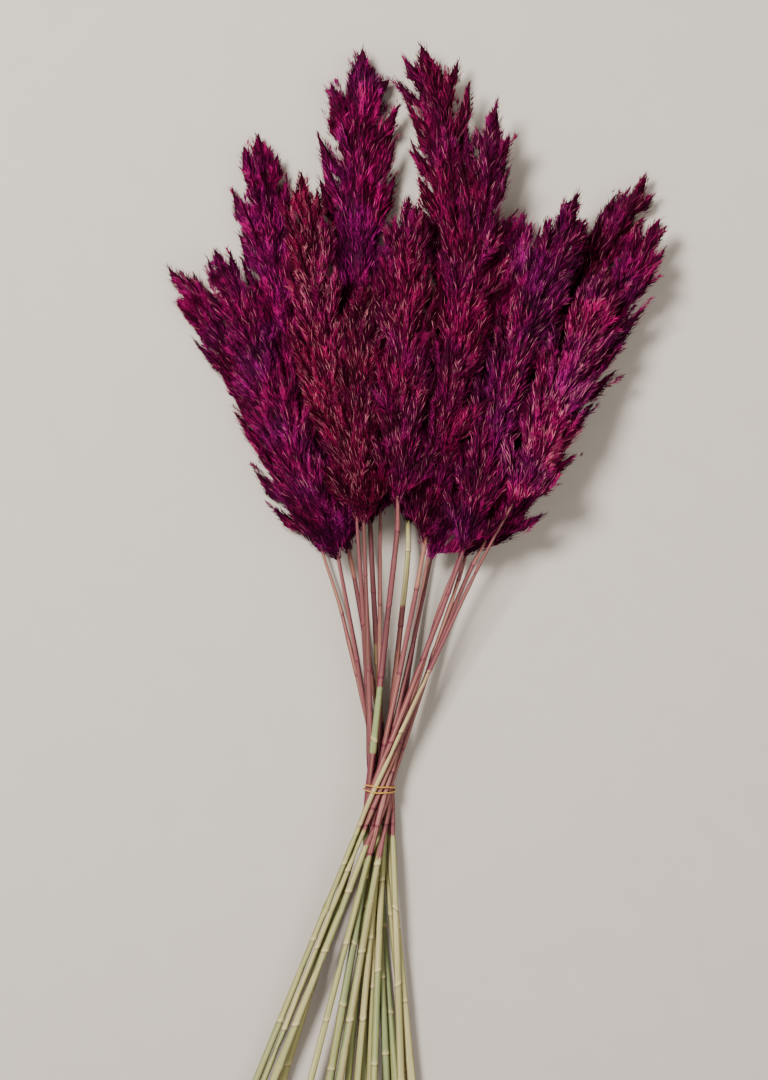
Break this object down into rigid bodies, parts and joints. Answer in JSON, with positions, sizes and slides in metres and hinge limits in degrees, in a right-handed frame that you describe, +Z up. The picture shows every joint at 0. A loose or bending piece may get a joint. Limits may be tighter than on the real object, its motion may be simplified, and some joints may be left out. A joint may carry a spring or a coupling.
{
  "type": "pampas grass bundle",
  "caption": "Bundle of dyed dried pampas grass plumes on long jointed stems, crossed and tied once with an elastic band, lying on its side.",
  "frame": {"origin": "on the resting surface, under the middle of the bundle's outline seen from above", "axes": "+Y runs from the cut stem ends to the plume tips, +Z up from the surface, +X across the fan of plumes"},
  "size_m": [0.371, 0.81, 0.0705],
  "materials": {
    "plume_magenta": "matt dyed plume, vivid magenta",
    "plume_purple": "matt dyed plume, purple",
    "plume_burgundy": "matt dyed plume, burgundy",
    "plume_dusty": "matt dyed plume, brownish pink",
    "stem_dyed": "dry reed, dyed dusty pink",
    "stem_plain": "dry reed, pale green and straw",
    "band": "thin yellow elastic"
  },
  "bodies": {
    "root": {"plume_01": "plume_magenta", "stem_01": "stem_dyed", "culm_01": "stem_plain", "plume_02": "plume_purple", "stem_02": "stem_dyed", "culm_02": "stem_plain", "plume_03": "plume_magenta", "stem_03": "stem_dyed", "culm_03": "stem_plain", "plume_04": "plume_dusty", "stem_04": "stem_dyed", "culm_04": "stem_plain", "plume_05": "plume_magenta", "stem_05": "stem_dyed", "culm_05": "stem_plain", "plume_06": "plume_burgundy", "stem_06": "stem_dyed", "culm_06": "stem_plain", "plume_07": "plume_burgundy", "stem_07": "stem_dyed", "culm_07": "stem_plain", "plume_08": "plume_purple", "stem_08": "stem_dyed", "culm_08": "stem_plain", "plume_09": "plume_purple", "stem_09": "stem_dyed", "culm_09": "stem_plain", "plume_10": "plume_burgundy", "stem_10": "stem_dyed", "culm_10": "stem_plain", "plume_11": "plume_purple", "stem_11": "stem_dyed", "culm_11": "stem_plain", "plume_12": "plume_magenta", "stem_12": "stem_dyed", "culm_12": "stem_plain", "plume_13": "plume_dusty", "stem_13": "stem_dyed", "culm_13": "stem_plain", "plume_14": "plume_burgundy", "stem_14": "stem_dyed", "culm_14": "stem_plain", "plume_15": "plume_magenta", "stem_15": "stem_dyed", "culm_15": "stem_plain", "plume_16": "plume_magenta", "stem_16": "stem_dyed", "culm_16": "stem_plain", "plume_17": "plume_purple", "stem_17": "stem_dyed", "culm_17": "stem_plain", "band": "band"}
  },
  "joints": []
}
